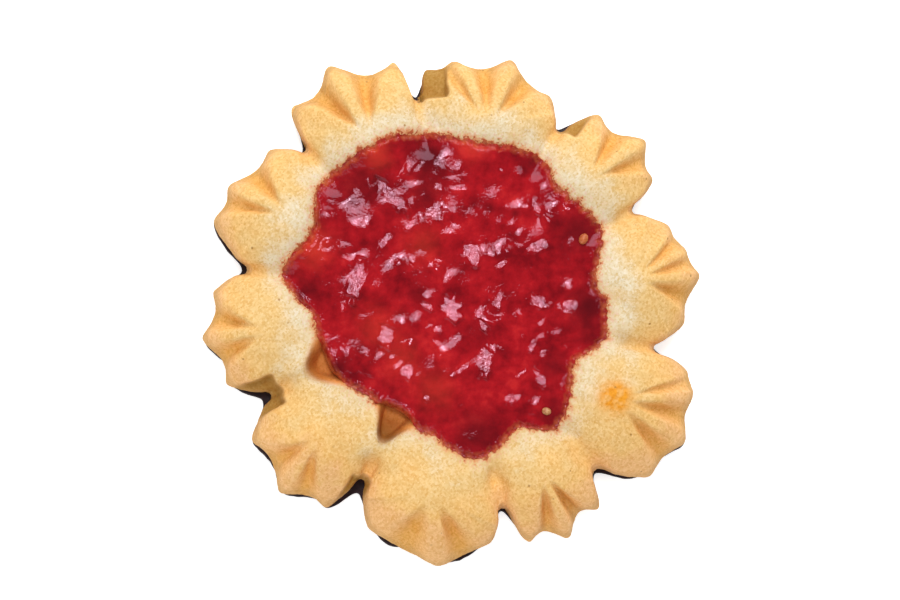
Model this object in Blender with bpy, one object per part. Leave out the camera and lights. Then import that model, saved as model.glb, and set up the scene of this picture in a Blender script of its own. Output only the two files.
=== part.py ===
"""Jam cookie: ten piped rosettes baked into one biscuit ring, jam in its dish, and a thin chocolate base.

Metres, +Z up. The origin is on the flat underside, at the middle of the cookie's box. Sizes below are in
millimetres and bearings in degrees, anticlockwise from +X about the middle of the cookie.
"""

import math

import bmesh
import bpy
import numpy as np

MM = 0.001

# Layers, as heights above the underside
CHOCOLATE_TOP = 1.3
LAYER_GAP = 0.3
BISCUIT_BOTTOM = CHOCOLATE_TOP + LAYER_GAP
FOOT_HEIGHT = 3.3
PEAK_HEIGHT = 10.9
RING_HEIGHT = 9.8
DISH_FLOOR = 5.6
JAM_LEVEL = 9.7

# Rosettes, anticlockwise: the rise of the top over the common peak, how deep the grooves between the ridges
# are, how far the outline dips between two tips per degree, and the bearing and reach of each ridge tip
ROSETTES = (
    (-0.2, 1.9, 0.10, ((-3.4, 33.2), (8.0, 36.0), (14.5, 34.6), (21.2, 33.3))),
    (0.0, 2.0, 0.16, ((32.5, 34.4), (41.0, 37.2), (52.9, 35.0))),
    (0.1, 2.2, 0.14, ((65.0, 33.6), (76.0, 36.8), (89.0, 35.4), (96.2, 34.3))),
    (0.3, 2.8, 0.18, ((102.2, 36.3), (116.5, 38.7), (128.2, 36.5))),
    (0.2, 2.0, 0.12, ((138.3, 34.1), (151.0, 35.8), (159.6, 35.6))),
    (-0.1, 1.9, 0.14, ((175.5, 33.4), (186.7, 35.3), (198.5, 33.1))),
    (0.1, 2.0, 0.13, ((213.5, 33.3), (227.0, 35.2), (238.2, 32.8))),
    (0.3, 2.0, 0.02, ((249.2, 32.6), (267.3, 35.9), (280.4, 33.1))),
    (0.0, 2.8, 0.24, ((288.6, 35.0), (297.7, 36.6), (307.0, 35.2))),
    (0.2, 1.9, 0.09, ((320.3, 36.8), (330.8, 38.2), (341.2, 36.5), (346.3, 34.8))),
)

# The notch after each rosette: its bearing and reach, and the depth and width of the seam that runs inwards
NOTCHES = (
    (28.5, 29.1, 0.9, 1.3),
    (59.0, 29.4, 1.1, 1.2),
    (99.2, 28.9, 0.9, 1.2),
    (132.5, 29.8, 0.9, 1.3),
    (169.0, 29.0, 1.4, 1.3),
    (205.2, 27.7, 1.1, 1.4),
    (242.6, 26.4, 1.6, 1.5),
    (285.0, 28.3, 2.0, 1.4),
    (312.0, 30.2, 2.2, 2.4),
    (349.5, 28.9, 1.1, 1.3),
)

# Low flanks beside notches: the bearings they lie between, their inner reach, the share of height they lose
SHELVES = (
    (90.5, 99.0, 29.0, 0.6),
    (53.5, 59.5, 29.0, 0.5),
    (199.5, 210.0, 25.9, 0.6),
    (238.5, 245.5, 26.0, 0.45),
)
SHELF_EDGE = 1.1

ROSETTE_CENTRE_REACH = 25.5
ROSETTE_INNER_RADIUS = 8.0
DOME_FULLNESS = 1.65
DOME_SMOOTHING = 3.0
DOME_OVERREACH = 0.9
DIP_FULLNESS = 1.8
GROOVE_START = 0.16
GROOVE_POINT = 0.55
GROOVE_FULL_SPAN = 18.0
GROOVE_MOUTH = 0.95
GROOVE_FALL = 2.2
GROOVE_FLOOR = 1.1
RIM_ROUNDING = 1.5
RIM_EDGE = 0.4
TIP_ROUNDING = 0.8
BLEND = 0.35
OUT_OF_BLEND = 4.2

RING_CREST_REACH = 22.5
RING_OVERREACH = 0.2
SEAM_START = 20.5
SEAM_RUN = 4.5

WALL_DROP = 0.5
WALL_INSET = 0.6

# The jam's shore: bearing and reach of each bay and each lobe
SHORE = (
    (3.0, 21.1),
    (11.5, 20.0),
    (29.0, 23.3),
    (48.5, 22.3),
    (59.5, 24.2),
    (80.0, 23.1),
    (109.0, 24.9),
    (137.0, 24.8),
    (151.0, 21.8),
    (167.0, 23.6),
    (185.5, 18.8),
    (206.0, 18.7),
    (227.0, 16.5),
    (243.0, 15.9),
    (257.0, 17.2),
    (281.0, 20.8),
    (299.0, 18.6),
    (311.0, 21.6),
    (336.5, 18.3),
    (350.5, 21.5),
)
DISH_MARGIN = 0.4
DISH_SLOPE = 3.6
HOLLOW_STEEPENING = 0.5
BANK_DROP = 0.8
BANK_WIDTH = 2.2

# Hollows of the dish that the jam doesn't reach: bearing, half width in degrees, and how far they run out
HOLLOWS = (
    (203.5, 8.0, 3.0),
    (242.0, 6.5, 4.7),
)

JAM_EDGE_THICKNESS = 0.35
JAM_EDGE_WIDTH = 1.6
JAM_LUMP_HEIGHT = 0.3

# Low waves that make the jam lumpy: the share of each, how fast it turns along X and along Y, and its start
JAM_WAVES = (
    (0.24, 0.62, 0.55, 0.5),
    (0.24, 0.62, -0.55, 1.3),
    (0.28, 0.95, -0.7, 2.0),
    (0.24, 0.5, 1.15, 1.57),
)

# The chocolate's edge lies a margin inside the biscuit's, and bulges out: bearing, half width and how far
CHOCOLATE_SMOOTHING = 1.0
CHOCOLATE_MARGIN = 0.45
CHOCOLATE_BULGES = (
    (15.0, 2.0, 0.6),
    (57.0, 2.5, 0.6),
    (163.5, 6.0, 1.0),
    (190.0, 3.0, 0.8),
    (203.5, 3.5, 1.5),
    (217.0, 7.0, 1.0),
    (231.0, 4.0, 1.0),
    (241.5, 4.0, 2.1),
    (255.0, 4.0, 1.0),
    (273.5, 5.0, 1.1),
    (316.0, 3.5, 1.1),
    (330.0, 6.0, 1.0),
)
CHOCOLATE_EDGE_ROUNDING = 0.35

# Seeds that lie in the jam's surface: bearing, reach, length and width
SEEDS = (
    (28.0, 20.6, 1.6, 1.25),
    (312.6, 19.2, 1.5, 1.2),
)
SEED_SINK = 0.25
SEED_TURN = 34.0
SEED_COLUMNS, SEED_ROWS = 8, 5

# How finely each body is drawn: columns round it, and places of its rings
BISCUIT_COLUMNS = 240
JAM_COLUMNS = 108
CHOCOLATE_COLUMNS = 180
OUTLINE_STEPS = 1440
ROSETTE_RIM_STEPS = 120
SLOPE_SHARES = (1.0, 0.7, 0.4, 0.15)
CRUST_SHARES = (0.1, 0.22, 0.35, 0.48, 0.6, 0.71, 0.81, 0.89, 0.95, 0.985)
JAM_SHARES = (0.17, 0.34, 0.51, 0.68, 0.84, 1.0)
JAM_EDGE_INSETS = (0.8, 0.25)
JAM_UNDERSIDE_INSETS = (0.1, 0.9, 1.9, 3.0)


def smoothstep(value):
    clipped = np.clip(value, 0.0, 1.0)
    return clipped * clipped * (3.0 - 2.0 * clipped)


def angle_between(bearing, other):
    """Signed difference of two bearings, between -180 and 180 degrees."""
    return (bearing - other + 180.0) % 360.0 - 180.0


def blurred(values, width):
    """Smooths samples that run once round the circle, by a Gaussian of this width in degrees."""
    offsets = np.arange(len(values)) * 360.0 / len(values)
    kernel = np.exp(-0.5 * (angle_between(offsets, 0.0) / width) ** 2)
    return np.real(np.fft.ifft(np.fft.fft(values) * np.fft.fft(kernel / kernel.sum())))


def outline_samples():
    """The biscuit's reach at even bearings: tips joined by hollow arcs, and notches between rosettes."""
    bearings = np.arange(OUTLINE_STEPS) * 360.0 / OUTLINE_STEPS
    reach = np.zeros(OUTLINE_STEPS)
    for index, (_, _, dip, tips) in enumerate(ROSETTES):
        before = NOTCHES[index - 1][:2]
        after = NOTCHES[index][:2]
        corners = [before, *tips, after]
        for (start, low), (end, high) in zip(corners, corners[1:]):
            span = angle_between(end, start)
            along = angle_between(bearings, start) / span
            inside = (along >= 0.0) & (along < 1.0)
            t = along[inside]
            reach[inside] = low + (high - low) * t
            if (start, low) != before and (end, high) != after:
                reach[inside] -= dip * span * (1.0 - np.abs(2.0 * t - 1.0) ** DIP_FULLNESS)
    return blurred(reach, TIP_ROUNDING)


def chocolate_samples():
    """The chocolate's reach at even bearings."""
    bearings = np.arange(OUTLINE_STEPS) * 360.0 / OUTLINE_STEPS
    reach = blurred(OUTLINE, CHOCOLATE_SMOOTHING) - CHOCOLATE_MARGIN
    for place, half_width, extra in CHOCOLATE_BULGES:
        reach += extra * np.exp(-((angle_between(bearings, place) / half_width) ** 2))
    return reach


OUTLINE = outline_samples()
DOME_OUTLINE = blurred(OUTLINE, DOME_SMOOTHING) + DOME_OVERREACH
CHOCOLATE_OUTLINE = chocolate_samples()


def read_round(samples, bearing):
    """Reads samples that run once round the circle at any bearing."""
    grid = np.arange(len(samples) + 1) * 360.0 / len(samples)
    return np.interp(np.asarray(bearing) % 360.0, grid, np.append(samples, samples[0]))


def biscuit_reach(bearing):
    return read_round(OUTLINE, bearing)


def through_extremes(extremes, bearing):
    """A smooth closed curve that is level at each named bay and lobe."""
    bearing = np.asarray(bearing, float)
    reach = np.zeros(bearing.shape)
    for (start, low), (end, high) in zip(extremes, extremes[1:] + extremes[:1]):
        span = (end - start) % 360.0
        along = ((bearing - start) % 360.0) / span
        reach = np.where(along < 1.0, low + (high - low) * smoothstep(along), reach)
    return reach


def shore_reach(bearing):
    return through_extremes(SHORE, bearing)


def dish_reach(bearing):
    """The top edge of the dish: a margin outside the jam, and further out at the two hollows."""
    reach = shore_reach(bearing) + DISH_MARGIN
    for centre, half_width, extra in HOLLOWS:
        reach = reach + extra * np.exp(-((angle_between(bearing, centre) / half_width) ** 2))
    return reach


def dish_slope(bearing):
    """How wide the dish's side is: steeper where it runs out past the jam."""
    return DISH_SLOPE - HOLLOW_STEEPENING * (dish_reach(bearing) - shore_reach(bearing) - DISH_MARGIN)


def notch_reach(bearing):
    """The reach of the notches, carried smoothly round between them."""
    return through_extremes([(place, reach) for place, reach, _, _ in NOTCHES], bearing)


def facet(across, run):
    """How deep a groove is cut: a facet that is a point inwards and widens to the whole gap at the rim."""
    width = GROOVE_POINT + (GROOVE_MOUTH - GROOVE_POINT) * run
    inside = np.clip(1.0 - np.abs(across) / width, 0.0, 1.0)
    return smoothstep(inside * GROOVE_FLOOR) * smoothstep(run * GROOVE_FALL)


def rosette_height(index, x, y):
    """A star-shaped dome: full in its middle, with ridges out to the tips and grooves between them."""
    rise, depth, _, tips = ROSETTES[index]
    start, end = NOTCHES[index - 1][0], NOTCHES[index][0]
    width = (end - start) % 360.0
    middle = math.radians(start + width / 2.0)
    outward = np.array((math.cos(middle), math.sin(middle)))
    centre = outward * ROSETTE_CENTRE_REACH

    def local(px, py):
        dx, dy = px - centre[0], py - centre[1]
        along = dx * outward[0] + dy * outward[1]
        across = -dx * outward[1] + dy * outward[0]
        return np.hypot(dx, dy), np.degrees(np.arctan2(across, along))

    rim_bearings = start + np.linspace(0.0, width, ROSETTE_RIM_STEPS)
    rim = read_round(DOME_OUTLINE, rim_bearings)
    rim_distance, rim_angle = local(
        rim * np.cos(np.radians(rim_bearings)), rim * np.sin(np.radians(rim_bearings))
    )
    order = np.argsort(rim_angle)
    known_angle = np.concatenate(([-180.0], rim_angle[order], [180.0]))
    known_edge = np.concatenate(([ROSETTE_INNER_RADIUS], rim_distance[order], [ROSETTE_INNER_RADIUS]))

    distance, angle = local(x, y)
    edge = np.interp(angle, known_angle, known_edge)
    fraction = distance / edge
    body = np.clip(1.0 - fraction**DOME_FULLNESS, 0.0, None) ** 0.5
    tip_angles = [
        float(local(reach * math.cos(math.radians(place)), reach * math.sin(math.radians(place)))[1])
        for place, reach in tips
    ]
    run = np.clip((fraction - GROOVE_START) / (1.0 - GROOVE_START), 0.0, 1.0)
    groove = np.zeros_like(distance)
    for left, right in zip(tip_angles, tip_angles[1:]):
        half = (right - left) / 2.0
        groove = groove + facet((angle - left - half) / half, run) * min(1.0, half / GROOVE_FULL_SPAN)
    top = FOOT_HEIGHT + (PEAK_HEIGHT + rise - FOOT_HEIGHT) * body - depth * groove
    return np.where(fraction < 1.0, top, FOOT_HEIGHT - OUT_OF_BLEND)


def ring_height(x, y, bearing, reach):
    """The ring that the rosettes' inner halves merge into, with a seam at each notch."""
    outer = notch_reach(bearing) + RING_OVERREACH
    fraction = np.clip((reach - RING_CREST_REACH) / (outer - RING_CREST_REACH), 0.0, 1.0)
    top = FOOT_HEIGHT + (RING_HEIGHT - FOOT_HEIGHT) * np.sqrt(1.0 - fraction**DOME_FULLNESS)
    for place, _, depth, wide in NOTCHES:
        turned = np.radians(angle_between(bearing, place))
        across = reach * np.sin(turned)
        seam = np.exp(-((across / wide) ** 2)) * (np.cos(turned) > 0.0)
        top = top - depth * seam * smoothstep((reach - SEAM_START) / SEAM_RUN)
    return top


def shelf_share(bearing, reach):
    """How much of its height the crust loses where a low flank stands beside a notch."""
    lost = np.zeros_like(reach)
    for start, end, inner, share in SHELVES:
        sideways = smoothstep(angle_between(bearing, start) / SHELF_EDGE)
        sideways = sideways * smoothstep(angle_between(end, bearing) / SHELF_EDGE)
        lost = lost + share * sideways * smoothstep((reach - inner) / SHELF_EDGE)
    return lost


def crust_height(x, y):
    """The biscuit's upper surface before the dish is hollowed.

    The rosettes and the ring are softly blended, drop a little towards the jam and are rounded at the rim.
    """
    bearing = np.degrees(np.arctan2(y, x))
    reach = np.hypot(x, y)
    layers = [ring_height(x, y, bearing, reach)]
    layers += [rosette_height(index, x, y) for index in range(len(ROSETTES))]
    stack = np.array(layers)
    highest = stack.max(axis=0)
    blend = highest + BLEND * np.log(np.exp((stack - highest) / BLEND).sum(axis=0))
    from_shore = np.clip(reach - shore_reach(bearing), 0.0, None)
    blend = blend - BANK_DROP * np.exp(-from_shore / BANK_WIDTH)
    from_rim = np.clip((biscuit_reach(bearing) - reach) / RIM_ROUNDING, 0.0, 1.0)
    rounding = np.sqrt(1.0 - (1.0 - from_rim) ** 2)
    lift = np.maximum(blend - FOOT_HEIGHT, RIM_EDGE) * (1.0 - shelf_share(bearing, reach))
    return FOOT_HEIGHT + lift * rounding


def biscuit_top(x, y):
    """The biscuit's upper surface, with the dish for the jam."""
    bearing = np.degrees(np.arctan2(y, x))
    reach = np.hypot(x, y)
    depth = smoothstep((dish_reach(bearing) - reach) / dish_slope(bearing))
    return crust_height(x, y) * (1.0 - depth) + DISH_FLOOR * depth


def jam_lumps(x, y):
    """Low swells of fruit in the jam, between -1 and 1."""
    waves = [
        share * np.sin(along_x * x + along_y * y + start) for share, along_x, along_y, start in JAM_WAVES
    ]
    return sum(waves)


def jam_top(x, y):
    """The jam's upper surface: nearly level in the middle, and rolling down to the dish at its shore."""
    bearing = np.degrees(np.arctan2(y, x))
    inside = shore_reach(bearing) - np.hypot(x, y)
    shore = biscuit_top(x, y) + LAYER_GAP + JAM_EDGE_THICKNESS
    level = JAM_LEVEL + JAM_LUMP_HEIGHT * jam_lumps(x, y)
    amount = smoothstep(inside / JAM_EDGE_WIDTH)
    return np.maximum(shore * (1.0 - amount) + level * amount, shore)


def round_body(name, columns, rings, material):
    """A closed body from a sphere, whose rings of latitude are moved to the given places.

    Each ring is a function of the bearing in degrees that gives reach and height, from the top ring to the
    lowest one. The first and last entries are the heights of the two poles.
    """
    top_pole, *between, bottom_pole = rings
    mesh = bpy.data.meshes.new(name)
    body = bmesh.new()
    bmesh.ops.create_uvsphere(body, u_segments=columns, v_segments=len(between) + 1, radius=1.0)
    points = np.array([vertex.co[:] for vertex in body.verts])
    bearing = np.degrees(np.arctan2(points[:, 1], points[:, 0]))
    steps = np.arccos(np.clip(points[:, 2], -1.0, 1.0)) / math.pi * (len(between) + 1)
    ring_of = np.rint(steps).astype(int)
    placed = np.zeros_like(points)
    placed[ring_of == 0, 2] = top_pole
    placed[ring_of == len(between) + 1, 2] = bottom_pole
    for index, ring in enumerate(between, start=1):
        chosen = ring_of == index
        reach, height = ring(bearing[chosen])
        angle = np.radians(bearing[chosen])
        placed[chosen, 0] = reach * np.cos(angle)
        placed[chosen, 1] = reach * np.sin(angle)
        placed[chosen, 2] = height
    for vertex, place in zip(body.verts, (placed - ORIGIN) * MM):
        vertex.co = place
    bmesh.ops.recalc_face_normals(body, faces=body.faces)
    body.to_mesh(mesh)
    body.free()
    mesh.shade_smooth()
    mesh.materials.append(material)
    return bpy.data.objects.new(name, mesh)


def surface_ring(reach_of, height_of):
    """A ring that lies on a surface, at the reach that a function of the bearing gives."""

    def ring(bearing):
        reach = reach_of(bearing)
        angle = np.radians(bearing)
        return reach, height_of(reach * np.cos(angle), reach * np.sin(angle))

    return ring


def level_ring(reach_of, height):
    """A ring at one height."""
    return lambda bearing: (reach_of(bearing), height)


def between_reaches(inner, outer, share):
    return lambda bearing: inner(bearing) + (outer(bearing) - inner(bearing)) * share


def biscuit_rings():
    """The dish floor, its slope, the crust out to the tips, the side wall and the flat underside."""
    rings = [DISH_FLOOR]
    rings += [surface_ring(lambda b: (dish_reach(b) - DISH_SLOPE) * 0.5, biscuit_top)]
    rings += [
        surface_ring(lambda b, share=share: dish_reach(b) - share * dish_slope(b), biscuit_top)
        for share in SLOPE_SHARES
    ]
    rings += [
        surface_ring(between_reaches(dish_reach, biscuit_reach, share), biscuit_top) for share in CRUST_SHARES
    ]
    rings += [
        level_ring(biscuit_reach, FOOT_HEIGHT - WALL_DROP),
        level_ring(lambda b: biscuit_reach(b) - WALL_INSET, BISCUIT_BOTTOM),
        level_ring(lambda b: biscuit_reach(b) * 0.5, BISCUIT_BOTTOM),
        BISCUIT_BOTTOM,
    ]
    return rings


def jam_rings():
    """The lumpy top out to the shore, a thin edge, and an underside that follows the dish."""

    def under(x, y):
        return biscuit_top(x, y) + LAYER_GAP

    def inset(amount):
        return lambda bearing: shore_reach(bearing) - amount

    rings = [float(jam_top(np.array(0.0), np.array(0.0)))]
    rings += [
        surface_ring(lambda b, share=share: (shore_reach(b) - JAM_EDGE_WIDTH) * share, jam_top)
        for share in JAM_SHARES
    ]
    rings += [surface_ring(inset(amount), jam_top) for amount in JAM_EDGE_INSETS]
    rings += [surface_ring(inset(amount), under) for amount in JAM_UNDERSIDE_INSETS]
    last = JAM_UNDERSIDE_INSETS[-1]
    rings += [surface_ring(lambda b: (shore_reach(b) - last) * 0.5, under), DISH_FLOOR + LAYER_GAP]
    return rings


def chocolate_rings():
    """A flat plate with a rounded upper edge."""

    def reach(bearing):
        return read_round(CHOCOLATE_OUTLINE, bearing)

    rounding = CHOCOLATE_EDGE_ROUNDING
    return [
        CHOCOLATE_TOP,
        level_ring(lambda b: reach(b) * 0.5, CHOCOLATE_TOP),
        level_ring(lambda b: reach(b) - rounding, CHOCOLATE_TOP),
        level_ring(reach, CHOCOLATE_TOP - rounding),
        level_ring(reach, rounding),
        level_ring(lambda b: reach(b) - rounding, 0.0),
        level_ring(lambda b: reach(b) * 0.5, 0.0),
        0.0,
    ]


def origin_of_box():
    """The middle of the biscuit's box, on the underside."""
    angle = np.radians(np.arange(OUTLINE_STEPS) * 360.0 / OUTLINE_STEPS)
    x, y = OUTLINE * np.cos(angle), OUTLINE * np.sin(angle)
    return np.array(((x.max() + x.min()) / 2.0, (y.max() + y.min()) / 2.0, 0.0))


ORIGIN = origin_of_box()


def make_seed(index, bearing, reach, length, width):
    """A bean-shaped seed, turned a little from its bearing and sunk into the jam."""
    angle = math.radians(bearing)
    x, y = reach * math.cos(angle), reach * math.sin(angle)
    height = float(jam_top(np.array(x), np.array(y))) - SEED_SINK
    mesh = bpy.data.meshes.new(f"seed_{index}")
    body = bmesh.new()
    bmesh.ops.create_uvsphere(body, u_segments=SEED_COLUMNS, v_segments=SEED_ROWS, radius=0.5)
    body.to_mesh(mesh)
    body.free()
    seed = bpy.data.objects.new(mesh.name, mesh)
    seed.location = (np.array((x, y, height)) - ORIGIN) * MM
    seed.scale = (length * MM, width * MM, width * MM)
    seed.rotation_euler = (0.0, 0.0, angle + math.radians(SEED_TURN))
    seed.hide_render = True
    seed.display_type = "WIRE"
    return seed


def join_seeds(jam, collection):
    """Joins the seeds to the jam's surface, then removes them."""
    for index, seed in enumerate(SEEDS, start=1):
        collection.objects.link(make_seed(index, *seed))
    union = jam.modifiers.new("seeds", "BOOLEAN")
    union.operation = "UNION"
    union.solver = "EXACT"
    union.operand_type = "COLLECTION"
    union.collection = collection
    bpy.context.view_layer.update()
    shown = jam.evaluated_get(bpy.context.evaluated_depsgraph_get())
    jam.data = bpy.data.meshes.new_from_object(shown)
    jam.modifiers.clear()
    for seed in list(collection.objects):
        bpy.data.objects.remove(seed, do_unlink=True)


def make_material(name, colour, roughness):
    material = bpy.data.materials.new(name)
    material.use_nodes = True
    shader = material.node_tree.nodes["Principled BSDF"]
    shader.inputs["Base Color"].default_value = (*colour, 1.0)
    shader.inputs["Roughness"].default_value = roughness
    shader.inputs["Metallic"].default_value = 0.0
    material.diffuse_color = (*colour, 1.0)
    return material


def clear_scene():
    for item in list(bpy.data.objects):
        bpy.data.objects.remove(item, do_unlink=True)


def main():
    clear_scene()
    cookie = bpy.data.collections.new("jam_cookie")
    joined = bpy.data.collections.new("joined_shapes")
    bpy.context.scene.collection.children.link(cookie)
    bpy.context.scene.collection.children.link(joined)

    baked = make_material("baked_biscuit", (0.80, 0.53, 0.24), 0.75)
    fruit = make_material("red_jam", (0.42, 0.012, 0.02), 0.15)
    dark = make_material("dark_chocolate", (0.035, 0.013, 0.010), 0.35)

    cookie.objects.link(round_body("chocolate_base", CHOCOLATE_COLUMNS, chocolate_rings(), dark))
    cookie.objects.link(round_body("biscuit", BISCUIT_COLUMNS, biscuit_rings(), baked))
    jam = round_body("jam", JAM_COLUMNS, jam_rings(), fruit)
    cookie.objects.link(jam)
    join_seeds(jam, joined)


main()
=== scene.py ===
import math

import bpy
import numpy as np
from mathutils import Matrix, Vector


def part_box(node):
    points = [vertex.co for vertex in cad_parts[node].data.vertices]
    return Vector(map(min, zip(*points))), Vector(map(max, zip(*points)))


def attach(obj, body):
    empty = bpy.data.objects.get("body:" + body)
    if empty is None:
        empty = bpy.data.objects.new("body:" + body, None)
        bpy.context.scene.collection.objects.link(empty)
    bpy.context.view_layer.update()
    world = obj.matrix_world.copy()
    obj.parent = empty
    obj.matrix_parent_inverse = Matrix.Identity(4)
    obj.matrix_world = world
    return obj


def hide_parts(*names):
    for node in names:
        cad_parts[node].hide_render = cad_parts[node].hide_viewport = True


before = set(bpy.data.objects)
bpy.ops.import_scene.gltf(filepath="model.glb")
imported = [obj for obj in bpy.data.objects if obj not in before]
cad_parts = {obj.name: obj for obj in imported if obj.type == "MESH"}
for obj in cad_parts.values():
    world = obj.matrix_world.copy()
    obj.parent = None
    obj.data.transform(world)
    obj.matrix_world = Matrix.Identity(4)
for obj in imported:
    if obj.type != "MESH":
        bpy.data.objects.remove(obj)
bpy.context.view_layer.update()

MM = 0.001

# Layers, as heights above the underside. The biscuit is sunk a little into the chocolate, so no gap shows.
CHOCOLATE_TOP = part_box("chocolate_base")[1].z / MM
BISCUIT_SINK = 0.05
BISCUIT_BOTTOM = CHOCOLATE_TOP - BISCUIT_SINK
FOOT_HEIGHT = 3.3
PEAK_HEIGHT = 10.9
RING_HEIGHT = 9.8
DISH_FLOOR = 5.6
JAM_LEVEL = 9.7

# Rosettes, anticlockwise: the rise of the top over the common peak, how deep the grooves between the ridges
# are, how far the outline dips between two tips per degree, and the bearing and reach of each ridge tip
ROSETTES = (
    (-0.2, 1.9, 0.10, ((-3.4, 33.2), (8.0, 36.0), (14.5, 34.6), (21.2, 33.3))),
    (0.0, 2.0, 0.16, ((32.5, 34.4), (41.0, 37.2), (52.9, 35.0))),
    (0.1, 2.2, 0.14, ((65.0, 33.6), (76.0, 36.8), (89.0, 35.4), (96.2, 34.3))),
    (0.3, 2.8, 0.18, ((102.2, 36.3), (116.5, 38.7), (128.2, 36.5))),
    (0.2, 2.0, 0.12, ((138.3, 34.1), (151.0, 35.8), (159.6, 35.6))),
    (-0.1, 1.9, 0.14, ((175.5, 33.4), (186.7, 35.3), (198.5, 33.1))),
    (0.1, 2.0, 0.13, ((213.5, 33.3), (227.0, 35.2), (238.2, 32.8))),
    (0.3, 2.0, 0.02, ((249.2, 32.6), (267.3, 35.9), (280.4, 33.1))),
    (0.0, 2.8, 0.24, ((288.6, 35.0), (297.7, 36.6), (307.0, 35.2))),
    (0.2, 1.9, 0.09, ((320.3, 36.8), (330.8, 38.2), (341.2, 36.5), (346.3, 34.8))),
)

# The notch after each rosette: its bearing and reach, and the depth and width of the seam that runs inwards
NOTCHES = (
    (28.5, 29.1, 0.9, 1.3),
    (59.0, 29.4, 1.1, 1.2),
    (99.2, 28.9, 0.9, 1.2),
    (132.5, 29.8, 0.9, 1.3),
    (169.0, 29.0, 1.4, 1.3),
    (205.2, 27.7, 1.1, 1.4),
    (242.6, 26.4, 1.6, 1.5),
    (285.0, 28.3, 2.0, 1.4),
    (312.0, 30.2, 2.2, 2.4),
    (349.5, 28.9, 1.1, 1.3),
)

# Low flanks beside notches: the bearings they lie between, their inner reach, the share of height they lose
SHELVES = (
    (90.5, 99.0, 29.0, 0.6),
    (53.5, 59.5, 29.0, 0.5),
    (199.5, 210.0, 25.9, 0.6),
    (238.5, 245.5, 26.0, 0.45),
)
SHELF_EDGE = 1.1

# The rosettes' domes, the grooves in them and their rounded rims
ROSETTE_CENTRE_REACH = 25.5
ROSETTE_INNER_RADIUS = 8.0
DOME_FULLNESS = 1.65
DOME_SMOOTHING = 3.0
DOME_OVERREACH = 0.9
DIP_FULLNESS = 1.8
GROOVE_START = 0.16
GROOVE_POINT = 0.55
GROOVE_FULL_SPAN = 18.0
GROOVE_MOUTH = 0.95
GROOVE_FALL = 2.2
GROOVE_FLOOR = 1.1
RIM_ROUNDING = 1.5
RIM_EDGE = 0.4
TIP_ROUNDING = 0.8
BLEND = 0.35
OUT_OF_BLEND = 4.2

# The ring between the rosettes and the jam, and the seams in it
RING_CREST_REACH = 22.5
RING_OVERREACH = 0.2
SEAM_START = 20.5
SEAM_RUN = 4.5

# How far the side wall leans in under the rim, and how far that wanders
WALL_INSET = 0.6
WALL_WANDER = 0.4

# The jam's shore: bearing and reach of each bay and each lobe
SHORE = (
    (3.0, 21.1),
    (11.5, 20.0),
    (29.0, 23.3),
    (48.5, 22.3),
    (59.5, 24.2),
    (80.0, 23.1),
    (109.0, 24.9),
    (137.0, 24.8),
    (151.0, 21.8),
    (167.0, 23.6),
    (185.5, 18.8),
    (206.0, 18.7),
    (227.0, 16.5),
    (243.0, 15.9),
    (257.0, 17.2),
    (281.0, 20.8),
    (299.0, 18.6),
    (311.0, 21.6),
    (336.5, 18.3),
    (350.5, 21.5),
)

# The dish's side, and the bank that falls towards the jam
DISH_MARGIN = 0.4
DISH_SLOPE = 3.6
HOLLOW_STEEPENING = 0.5
BANK_DROP = 0.8
BANK_WIDTH = 2.2

# Hollows of the dish that the jam doesn't reach: bearing, half width in degrees, and how far they run out
HOLLOWS = (
    (203.5, 8.0, 3.0),
    (242.0, 6.5, 4.7),
)

# The chocolate's edge lies a margin inside the biscuit's, and bulges out: bearing, half width and how far
CHOCOLATE_SMOOTHING = 1.0
CHOCOLATE_MARGIN = 0.45
CHOCOLATE_BULGES = (
    (15.0, 2.0, 0.6),
    (57.0, 2.5, 0.6),
    (163.5, 6.0, 1.0),
    (190.0, 3.0, 0.8),
    (203.5, 3.5, 1.5),
    (217.0, 7.0, 1.0),
    (231.0, 4.0, 1.0),
    (241.5, 4.0, 2.1),
    (255.0, 4.0, 1.0),
    (273.5, 5.0, 1.1),
    (316.0, 3.5, 1.1),
    (330.0, 6.0, 1.0),
)
CHOCOLATE_EDGE_ROUNDING = 0.35

# Seeds that lie in the jam's surface: bearing, reach, length and width, then how they lie and their shades
SEEDS = (
    (28.0, 20.6, 1.6, 1.25),
    (312.6, 19.2, 1.3, 1.05),
)
SEED_TURN = 34.0
SEED_SINK = 0.05
SEED_FLATNESS = 1.2
SEED_DENT = 0.07
SEED_SHADES = (
    ((0.45, 0.08, 0.025), (0.66, 0.20, 0.06)),
    ((0.38, 0.10, 0.03), (0.66, 0.37, 0.16)),
)

# Finer relief of the crust: the height, the size and the seed of each layer of noise
CRUST_SWELLS = (
    (0.14, 3.4, 11),
    (0.06, 1.5, 12),
)
CRUST_GRAINS = (
    (0.030, 0.62, 13),
    (0.024, 0.42, 14),
)

# Fine creases between rosettes: how deep, how far from the dish they start, over what run they deepen,
# their width as a share of a seam's, and how much painted shade darkens them
CREASE_DEPTH = 0.55
CREASE_START = 0.8
CREASE_RUN = 3.0
CREASE_WIDTH = 0.55
CREASE_PAINTED_SHADE = 0.2

# A browned blister on the crust: where its middle is, and its size
BLISTER_PLACE = (22.4, -12.2)
BLISTER_SIZE = 1.95

# How much further the golden colour reaches in on the lower side of the picture
LOWER_SIDE_GOLD_REACH = 0.22

# Where the browner colours and the painted shade set in: browning and painted shade on steep and low sides,
# a painted shadow on low flanks, and painted shade round and in the hollows
STEEP_SLOPE = 0.72
STEEP_RANGE = 0.45
LOW_HEIGHT = 8.0
LOW_RANGE = 3.5
SHELF_FULL = 0.4
HOLLOW_FRINGE = 0.8
HOLLOW_FEATHER = 1.8
HOLLOW_SHADE_RUN = 4.0

# Where the jam has stained the crust: how far the stain reaches, and its uneven edge
STAIN_REACH = 0.8
STAIN_FEATHERS = (
    (0.35, 1.5, 31),
    (0.25, 0.7, 32),
)

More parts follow.
